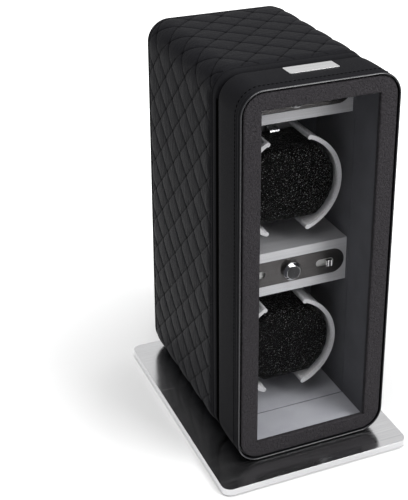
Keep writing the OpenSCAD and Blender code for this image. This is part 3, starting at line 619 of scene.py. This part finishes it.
def quilted_sheet():
    """Diamond padding: a lattice of squares turned on its corner, cut to the sheet, raised and wrapped."""
    across = COLUMN_END - COLUMN_START
    middle_row = (ROW_START + ROW_END) / 2
    middle_column = (COLUMN_START + COLUMN_END) / 2
    cells = 2 * math.ceil((ROW_END - ROW_START + across) / 2 + 1)
    clear_selection()
    bpy.ops.mesh.primitive_grid_add(x_subdivisions=cells, y_subdivisions=cells, size=cells)
    obj = named("quilted_leather")
    mesh = edit(obj)
    shift_a = round(middle_row + middle_column)
    shift_b = round(middle_row - middle_column)
    for vert in mesh.verts:
        first, second = vert.co.x + shift_a, vert.co.y + shift_b
        vert.co = ((first + second) / 2, (first - second) / 2, 0)
    margin = 0.75
    unused = []
    for face in mesh.faces:
        centre = face.calc_center_median()
        along_out = not ROW_START - margin < centre.x < ROW_END + margin
        if along_out or abs(centre.y - middle_column) > across / 2 + margin:
            unused.append(face)
    bmesh.ops.delete(mesh, geom=unused, context="FACES")
    bmesh.update_edit_mesh(obj.data)
    bpy.ops.mesh.select_all(action="SELECT")
    bpy.ops.mesh.subdivide(number_cuts=DIAMOND_CUTS - 1)
    mesh = bmesh.from_edit_mesh(obj.data)
    for vert in mesh.verts:
        first, second = gathered(vert.co.x + vert.co.y), gathered(vert.co.x - vert.co.y)
        vert.co = ((first + second) / 2, (first - second) / 2, 0)
    bmesh.update_edit_mesh(obj.data)
    for place, normal in (
        ((ROW_START, 0, 0), (-1, 0, 0)),
        ((ROW_END, 0, 0), (1, 0, 0)),
        ((0, COLUMN_START, 0), (0, -1, 0)),
        ((0, COLUMN_END, 0), (0, 1, 0)),
    ):
        bpy.ops.mesh.select_all(action="SELECT")
        bpy.ops.mesh.bisect(plane_co=place, plane_no=normal, clear_outer=True)
    mesh = bmesh.from_edit_mesh(obj.data)
    raised = mesh.verts.layers.float.new("raised")
    for vert in mesh.verts:
        row, column = vert.co.x, vert.co.y
        # How far the padding has risen from the seams; the leather material also uses it to paint shade near the
        # seams.
        vert[raised] = flank(row + column) * flank(row - column)
        vert.co = on_quilt(row, column)[0]
    leave_edit(obj)
    apply_modifier(obj, "SOLIDIFY", thickness=LEATHER * MM, offset=-1)
    edit(obj)
    bpy.ops.mesh.select_all(action="SELECT")
    bpy.ops.mesh.normals_make_consistent(inside=False)
    leave_edit(obj)
    smooth(obj, 60)
    return obj


def one_stitch(length, width):
    """One stitch of thread along X, humped between its two needle holes."""
    clear_selection()
    bpy.ops.mesh.primitive_cylinder_add(
        vertices=6, radius=width / 2 * MM, depth=length * MM, rotation=(0, math.pi / 2, 0)
    )
    stitch = named("one_stitch")
    bpy.ops.object.transform_apply(location=False, rotation=True, scale=False)
    edit(stitch)
    bpy.ops.mesh.select_all(action="SELECT")
    bpy.ops.mesh.bisect(plane_co=(0, 0, 0), plane_no=(1, 0, 0))
    mesh = bmesh.from_edit_mesh(stitch.data)
    for vert in mesh.verts:
        outward = abs(vert.co.x) / (length / 2 * MM)
        vert.co.z = vert.co.z * (1 - STITCH_DIP * outward) - STITCH_DIP * width * MM * outward
        vert.co.y *= 1 - STITCH_TAPER * outward
    leave_edit(stitch)
    return stitch


def sew(name, places, length=3.0, width=0.9):
    """A row of stitches, each a copy of one, laid along its place's direction on the leather."""
    stitch = one_stitch(length, width)
    clear_selection()
    bpy.ops.mesh.primitive_plane_add(size=1)
    seam = named(name)
    mesh = edit(seam)
    bmesh.ops.delete(mesh, geom=mesh.verts[:], context="VERTS")
    for point, along, up in places:
        along = along.normalized()
        across = up.cross(along).normalized()
        up = along.cross(across)
        turn = Matrix((along, across, up)).transposed().to_4x4()
        start = len(mesh.verts)
        mesh.from_mesh(stitch.data)
        mesh.verts.ensure_lookup_table()
        bmesh.ops.transform(mesh, matrix=Matrix.Translation(point) @ turn, verts=mesh.verts[start:])
    leave_edit(seam)
    bpy.data.objects.remove(stitch)
    smooth(seam, 50)
    return seam


def quilt_stitches():
    """Places for the stitches along both families of seams."""
    places = []
    low = math.floor(ROW_START + COLUMN_START) - SPARE_SEAMS
    high = math.ceil(ROW_END + COLUMN_END) + SPARE_SEAMS
    for line in range(low, high):
        for step in range(low * STITCHES_PER_SIDE, high * STITCHES_PER_SIDE):
            along = (step + 0.5) / STITCHES_PER_SIDE
            for first, second, one, two in ((line, along, 0, AHEAD), (along, line, AHEAD, 0)):
                row, column = (first + second) / 2, (first - second) / 2
                in_rows = ROW_START + ROW_MARGIN < row < ROW_END - ROW_MARGIN
                if not (in_rows and COLUMN_START + COLUMN_MARGIN < column < COLUMN_END - COLUMN_MARGIN):
                    continue
                here, up = on_quilt(row, column)
                there = on_quilt(row + (one + two) / 2, column + (one - two) / 2)[0]
                places.append((here, there - here, up))
    return places


# ---------- Everything in its place ----------

# How deep the door's shiny rim, the floor strips, the knobs' faces and the lever shutters lie, in millimetres; the
# rim's paler colour is partly painted highlight, the floor strips' paler suede is painted light and the knobs'
# dark faces are a painted dark reflection
RIM_DEEP, FLOOR_STRIP, KNOB_FACE_DEEP, SHUTTER_DEEP = 0.5, 0.4, 0.8, 2.5
FACING_UP, FACING_FRONT = 0.5, -0.9


def make_cover():
    quilt = quilted_sheet()
    set_in_place(quilt, "cabinet", "quilted_leather", QUILT_LEATHER, "quilted_cover")
    set_in_place(sew("quilt_seams", quilt_stitches()), "cabinet", "quilted_leather", THREAD, "quilted_cover")
    end = CABINET_END
    rear = sweep(
        "rear_binding",
        [
            box_station(2.6, QUILT_END - 0.6),
            box_station(1.3, QUILT_END - 0.4),
            box_station(0.5, QUILT_END + 0.1),
            box_station(0.2, QUILT_END + 1.0),
            box_station(0.1, QUILT_END + 2.6),
            box_station(0.4, end - 1.4),
            box_station(1.1, end - 0.4),
            box_station(2.1, end),
            box_station(2.9, end - 0.4),
            box_station(2.95, end - 4.6),
        ],
    )
    set_in_place(rear, "cabinet", "quilted_leather", EDGE_LEATHER, "quilted_cover")


def paint_gap_shade(piece, start, end, index):
    """Paints shade, as a near-black matt colour, on the faces that look into the gap at the door's sides and foot;
    the top is left alone, where light falls into the gap.
    """
    piece.data.materials.append(PAINTED_GAP_SHADE)
    for face in piece.data.polygons:
        if spot(0, start, 0).y < face.center.y < spot(0, end, 0).y and face.center.z < spot(0, 0, HIGH - CORNER).z:
            face.material_index = index


def make_binding():
    front = CABINET
    seam = QUILT_FRONT
    binding = sweep(
        "cabinet_binding",
        [
            box_station(2.95, seam),
            box_station(1.9, seam + 0.1),
            box_station(0.9, seam - 0.1),
            box_station(0.35, seam - 0.6),
            box_station(0.15, seam - 1.3),
            box_station(0.25, seam - 2.0),
            box_station(0.75, seam - 2.6),
            box_station(0.55, seam - 3.2),
            box_station(0.4, seam - 4.4),
            box_station(0.45, front + 2.8),
            box_station(0.8, front + 1.5),
            box_station(1.5, front + 0.6),
            box_station(2.6, front + 0.1),
            box_station(3.6, front),
            hole_station(BAY, 0.7, front),
            hole_station(BAY, 0.15, front + 0.35),
            hole_station(BAY, 0.0, front + 1.1),
            box_station(2.95, front + 1.15),
        ],
    )
    set_in_place(binding, "cabinet", "smooth_leather", EDGE_LEATHER, "front_binding")
    paint_gap_shade(binding, CABINET - 1, CABINET + 1.7, 1)


def make_door():
    deep = DOOR_DEEP
    profile = [
        (1.45, 3.5),
        (1.35, 1.0),
        (1.2, 0.4),
        (1.0, 0.1),
        (0.75, 0.0),
        (0.5, 0.1),
        (0.25, 0.45),
        (0.1, 1.0),
        (0.1, 1.5),
        (0.5, 1.9),
        (0.55, 2.3),
        (0.25, 2.8),
        (0.1, 3.5),
        (0.15, 4.3),
        (0.45, 4.9),
        (0.35, 5.4),
        (0.1, 6.2),
        (0.0, 7.3),
        (0.12, 7.8),
        (0.12, 8.3),
        (-0.05, 8.9),
        (-0.2, 14.0),
        (-0.3, 21.0),
        (-0.25, 27.0),
        (-0.05, deep - 3.2),
        (0.35, deep - 1.7),
        (1.1, deep - 0.6),
        (2.1, deep - 0.1),
        (3.2, deep),
    ]
    stations = [box_station(inset, y, DOOR_LIFT) for inset, y in profile]
    stations += [
        hole_station(BAY, 1.7, deep - 0.05),
        hole_station(BAY, 1.25, deep - 0.3),
        hole_station(BAY, 1.2, deep - 1.2),
        box_station(1.45, deep - 1.25, DOOR_LIFT),
    ]
    door = set_in_place(sweep("door_leather", stations), "door", "smooth_leather", EDGE_LEATHER, "door_cover")
    door.data.materials.append(RIM_LEATHER_PAINTED_HIGHLIGHT)
    # The rim's faces take the glossier, paler leather: partly real gloss, partly painted highlight.
    for polygon in door.data.polygons:
        if polygon.center.y < spot(0, RIM_DEEP, 0).y:
            polygon.material_index = 1
    paint_gap_shade(door, DOOR_DEEP - 1.0, DOOR_DEEP + 1, 2)
    face = sweep(
        "door_face_panel",
        [
            box_station(2.55, 3.55, DOOR_LIFT),
            box_station(2.5, 1.3, DOOR_LIFT),
            box_station(2.7, 0.8, DOOR_LIFT),
            box_station(3.3, 0.45, DOOR_LIFT),
            box_station(4.3, 0.3, DOOR_LIFT),
            hole_station(WINDOW, 1.6, 0.3),
            hole_station(WINDOW, 0.6, 0.45),
            hole_station(WINDOW, 0.1, 0.9),
            hole_station(WINDOW, 0.0, 1.6),
            hole_station(WINDOW, 0.0, 3.55),
        ],
    )
    set_in_place(face, "door", "face_leather", FACE_LEATHER, "door_face")
    places = []
    for step in range(DOOR_STITCHES):
        row = ROW_START + (ROW_END - ROW_START) * (step + 0.5) / DOOR_STITCHES
        x, z, heading = round_the_box(row, DOOR_SEAM_LIFT)
        along = Vector((math.cos(heading), 0, math.sin(heading)))
        out = Vector((-math.sin(heading), 0, math.cos(heading)))
        places.append((spot(x, DOOR_SEAM, max(z, DOOR_LIFT)), along, out))
    set_in_place(sew("door_seam", places, length=2.1, width=0.5), "door", "smooth_leather", THREAD, "door_cover")


def make_linings():
    """Dark suede on the walls and, as painted light on the floor strips that face up, a paler copy of the same
    suede.
    """
    for node, body in (
        ("side_linings", "cabinet"),
        ("floor_lining", "cabinet"),
        ("inner_back_wall", "cabinet"),
        ("door_lining", "door"),
    ):
        lining = set_in_place(eased(node, node + "_suede", 0.35), body, "lining", DARK_SUEDE, node)
        lining.data.materials.append(PAINTED_LIGHT_SUEDE)
        strip = spot(0, 0, BAY[2] + FLOOR_STRIP).z
        for face in lining.data.polygons:
            # Painted light: faces that face up at the bay's floor get the paler copy of the suede.
            if face.normal.z > FACING_UP and face.center.z < strip:
                face.material_index = 1


def make_metal():
    plate = eased("base_plate", "brushed_base_plate", 0.5, 3)
    set_in_place(plate, "cabinet", "base_plate", PLATE_METAL, "base_plate")
    name = eased("nameplate", "bare_nameplate", 0.25)
    set_in_place(name, "door", "nameplate", NAME_METAL, "nameplate")
    for level in LEVELS:
        housing = eased(level + "_control_housing", level + "_housing", 0.5, 3)
        set_in_place(housing, "cabinet", "block_metal", BLOCK_METAL, level + "_control_housing")
        panel = eased(level + "_control_plate", level + "_brushed_plate", 0.2)
        set_in_place(panel, "cabinet", "control_plate", CONTROL_METAL, level + "_control_plate")
        knob = eased(level + "_knob", level + "_spun_knob", 0.15)
        low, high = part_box(level + "_knob")
        set_in_place(knob, level + "_speed_knob", "chrome", CHROME, level + "_knob")
        knob.data.materials.append(spun(level + "_spun_face_painted_dark", KNOB_FACE_PAINTED_DARK, 0.55, (low + high) / 2))
        # The knob's front faces take the darker spun metal, a painted dark reflection.
        for face in knob.data.polygons:
            if face.normal.y < FACING_FRONT and face.center.y < low.y + KNOB_FACE_DEEP * MM:
                face.material_index = 1
        for side in ("left", "right"):
            node = f"{level}_{side}_slide"
            lever = eased(node, node + "_lever", 0.35, 3)
            set_in_place(lever, f"{level}_{side}_lever", "chrome", CHROME, node)
            lever.data.materials.append(WHITE_PLASTIC)
            shutter = spot(0, CABINET + SHUTTER_DEEP, 0).y
            for face in lever.data.polygons:
                if face.center.y > shutter:
                    face.material_index = 1


PRESSURE = 4
SETTLING_FRAMES = 20
CUSHION_ROUND, CUSHION_VOXEL, CUSHION_GIVE = 1.2, 2.7, 1.6
CUSHION_REACH = (0.011, 0.0, 0.004)


def stuff(pad, most):
    """Fills a pad by a short cloth simulation, moving no point further than a number of millimetres."""
    before = [vert.co.copy() for vert in pad.data.vertices]
    cloth = pad.modifiers.new("Cloth", "CLOTH")
    cloth.settings.use_pressure = True
    cloth.settings.uniform_pressure_force = PRESSURE
    cloth.settings.effector_weights.gravity = 0
    cloth.settings.quality = 5
    for frame_number in range(1, SETTLING_FRAMES + 1):
        bpy.context.scene.frame_set(frame_number)
    only(pad)
    bpy.ops.object.modifier_apply(modifier=cloth.name)
    bpy.context.scene.frame_set(1)
    for vert, start in zip(pad.data.vertices, before):
        moved = vert.co - start
        if moved.length > most * MM:
            vert.co = start + moved.normalized() * most * MM


def make_cushion(level):
    """A stuffed pad: blown up by the cloth simulation, smoothed, then fitted between the cradle's arms."""
    low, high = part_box(level + "_cushion")
    pad = eased(level + "_cushion", level + "_pebbled_cushion", CUSHION_ROUND)
    apply_modifier(pad, "REMESH", mode="VOXEL", voxel_size=CUSHION_VOXEL * MM)
    stuff(pad, CUSHION_GIVE)
    apply_modifier(pad, "SUBSURF", levels=2, render_levels=2)
    found = [(min(v.co[i] for v in pad.data.vertices), max(v.co[i] for v in pad.data.vertices)) for i in range(3)]
    edit(pad)
    bpy.ops.mesh.select_all(action="SELECT")
    wanted = [(high[i] - low[i]) * (1 + 2 * CUSHION_REACH[i]) / (found[i][1] - found[i][0]) for i in range(3)]
    centre = [(found[i][0] + found[i][1]) / 2 for i in range(3)]
    bpy.ops.transform.resize(value=wanted, center_override=centre)
    bpy.ops.transform.translate(value=[(low[i] + high[i]) / 2 - centre[i] for i in range(3)])
    leave_edit(pad)
    smooth(pad, 180)
    set_in_place(pad, level + "_cushion_pad", "cushion_leather", CUSHION_LEATHER, level + "_cushion")


def make_rotors():
    for level in LEVELS:
        cradle = eased(level + "_cradle", level + "_moulded_cradle", 0.4, 3)
        set_in_place(cradle, level + "_rotor", "cradle", CRADLE_PLASTIC, level + "_cradle")
        make_cushion(level)


# ---------- Studio ----------

CAMERA_PLACE = (-0.318184, -0.668827, 0.525016)
CAMERA_DOWN, CAMERA_YAW = 22.659, 23.2005
FOCAL_PIXELS = 1139.51
CENTRE_PIXELS = (223.72, 140.33)
PICTURE = (408, 500)
SENSOR_WIDTH = 36


def add_camera():
    data = bpy.data.cameras.new("camera")
    camera = bpy.data.objects.new("camera", data)
    bpy.context.scene.collection.objects.link(camera)
    camera.location = CAMERA_PLACE
    camera.rotation_euler = (math.radians(90 - CAMERA_DOWN), 0, math.radians(-CAMERA_YAW))
    data.sensor_width = SENSOR_WIDTH
    data.lens = FOCAL_PIXELS * data.sensor_width / PICTURE[1]
    data.shift_x = (PICTURE[0] / 2 - CENTRE_PIXELS[0]) / PICTURE[1]
    data.shift_y = (CENTRE_PIXELS[1] - PICTURE[1] / 2) / PICTURE[1]
    data.clip_start = 0.01
    bpy.context.scene.camera = camera


# The surround: its light on the piece, and what gloss sees of it forwards and near the horizon
AMBIENT = 0.42
GLOSS_FRONT = 0.12
GLOSS_HORIZON = 0.55
FORWARD, BACKWARD = -0.6, 0.7
LEVEL, STEEP = 0.25, 0.5
# The floor: its own light to gloss and to the camera, at a distance in metres and further away
GLOSS_NEAR, GLOSS_FAR = 0.34, 0.16
GLOW_NEAR, GLOW_FAR = 0.11, 1.0
NEAR, AWAY = 0.12, 0.6
FLOOR_SIZE = 12
FLOOR_GREY, FLOOR_ROUGHNESS, FLOOR_SPECULAR = 0.7, 0.9, 0.1


def add_softbox(name, place, aim, size, power):
    """A rectangular lamp turned towards a point, with its size in metres and its power in watts."""
    data = bpy.data.lights.new(name, "AREA")
    data.shape = "RECTANGLE"
    data.size, data.size_y = size
    data.energy = power
    lamp = bpy.data.objects.new(name, data)
    bpy.context.scene.collection.objects.link(lamp)
    lamp.location = place
    lamp.rotation_euler = (Vector(aim) - Vector(place)).to_track_quat("-Z", "Y").to_euler()


def add_floor():
    clear_selection()
    bpy.ops.mesh.primitive_plane_add(size=FLOOR_SIZE, location=(0, 0, 0))
    floor = named("studio_floor")
    material = bpy.data.materials.new("white_floor")
    material.use_nodes = True
    tree = material.node_tree
    shader = tree.nodes["Principled BSDF"]
    shader.inputs["Base Color"].default_value = (FLOOR_GREY, FLOOR_GREY, FLOOR_GREY, 1)
    shader.inputs["Roughness"].default_value = FLOOR_ROUGHNESS
    shader.inputs["Specular IOR Level"].default_value = FLOOR_SPECULAR
    path = tree.nodes.new("ShaderNodeLightPath")
    away = tree.nodes.new("ShaderNodeVectorMath")
    away.operation = "LENGTH"
    tree.links.new(tree.nodes.new("ShaderNodeTexCoord").outputs["Object"], away.inputs[0])
    levels = []
    for ray, near, far in (("Is Camera Ray", GLOW_NEAR, GLOW_FAR), ("Is Glossy Ray", GLOSS_NEAR, GLOSS_FAR)):
        spread = tree.nodes.new("ShaderNodeMapRange")
        for key, value in {"From Min": NEAR, "From Max": AWAY, "To Min": near, "To Max": far}.items():
            spread.inputs[key].default_value = value
        tree.links.new(away.outputs["Value"], spread.inputs["Value"])
        level = tree.nodes.new("ShaderNodeMath")
        level.operation = "MULTIPLY"
        tree.links.new(spread.outputs["Result"], level.inputs[1])
        tree.links.new(path.outputs[ray], level.inputs[0])
        levels.append(level.outputs[0])
    glow = tree.nodes.new("ShaderNodeMath")
    glow.operation = "MAXIMUM"
    tree.links.new(levels[0], glow.inputs[0])
    tree.links.new(levels[1], glow.inputs[1])
    shader.inputs["Emission Color"].default_value = (1, 1, 1, 1)
    tree.links.new(glow.outputs[0], shader.inputs["Emission Strength"])
    floor.data.materials.append(material)


def add_world():
    """A white surround for the camera, a dimmer one that lights the piece, and one for gloss.

    The last is darker forwards and low down."""
    world = bpy.data.worlds.new("studio")
    bpy.context.scene.world = world
    world.use_nodes = True
    tree = world.node_tree
    tree.nodes.clear()

    def node(kind, **settings):
        made = tree.nodes.new("ShaderNode" + kind)
        for key, value in settings.items():
            setattr(made, key, value)
        return made

    path = node("LightPath")
    direction = node("SeparateXYZ")
    tree.links.new(node("TexCoord").outputs["Generated"], direction.inputs[0])
    across = node("MapRange")
    across.inputs["From Min"].default_value = FORWARD
    across.inputs["From Max"].default_value = BACKWARD
    across.inputs["To Min"].default_value = GLOSS_FRONT
    across.inputs["To Max"].default_value = 1.0
    tree.links.new(direction.outputs["Y"], across.inputs["Value"])
    upward = node("MapRange")
    upward.inputs["From Min"].default_value = LEVEL
    upward.inputs["From Max"].default_value = STEEP
    upward.inputs["To Min"].default_value = GLOSS_HORIZON
    upward.inputs["To Max"].default_value = 1.0
    tree.links.new(direction.outputs["Z"], upward.inputs["Value"])
    sky = node("Math", operation="MULTIPLY")
    tree.links.new(across.outputs["Result"], sky.inputs[0])
    tree.links.new(upward.outputs["Result"], sky.inputs[1])
    gloss = node("Math", operation="MULTIPLY")
    tree.links.new(sky.outputs[0], gloss.inputs[0])
    tree.links.new(path.outputs["Is Glossy Ray"], gloss.inputs[1])
    level = node("Math", operation="MAXIMUM")
    tree.links.new(gloss.outputs[0], level.inputs[0])
    tree.links.new(path.outputs["Is Camera Ray"], level.inputs[1])
    clear = node("Math", operation="MAXIMUM")
    tree.links.new(level.outputs[0], clear.inputs[0])
    tree.links.new(path.outputs["Is Transmission Ray"], clear.inputs[1])
    fill = node("Math", operation="MULTIPLY")
    fill.inputs[1].default_value = AMBIENT
    tree.links.new(path.outputs["Is Diffuse Ray"], fill.inputs[0])
    both = node("Math", operation="MAXIMUM")
    tree.links.new(clear.outputs[0], both.inputs[0])
    tree.links.new(fill.outputs[0], both.inputs[1])
    background = node("Background")
    background.inputs["Color"].default_value = (1, 1, 1, 1)
    tree.links.new(both.outputs[0], background.inputs["Strength"])
    output = node("OutputWorld")
    tree.links.new(background.outputs[0], output.inputs["Surface"])


def light_studio():
    add_world()
    add_floor()
    add_softbox("key", (0.6, -0.9, 0.95), (0, 0, 0.14), (0.6, 0.6), 14)
    add_softbox("overhead", (0.0, -0.05, 0.95), (0, 0, 0.1), (0.8, 0.9), 9)
    add_softbox("rear", (-1.2, 0.8, 0.3), (0, 0, 0.12), (0.5, 0.5), 6.5)


bpy.context.scene.view_settings.view_transform = "Standard"
add_camera()
light_studio()
finish_solids()
make_cover()
make_binding()
make_door()
make_linings()
make_metal()
make_rotors()
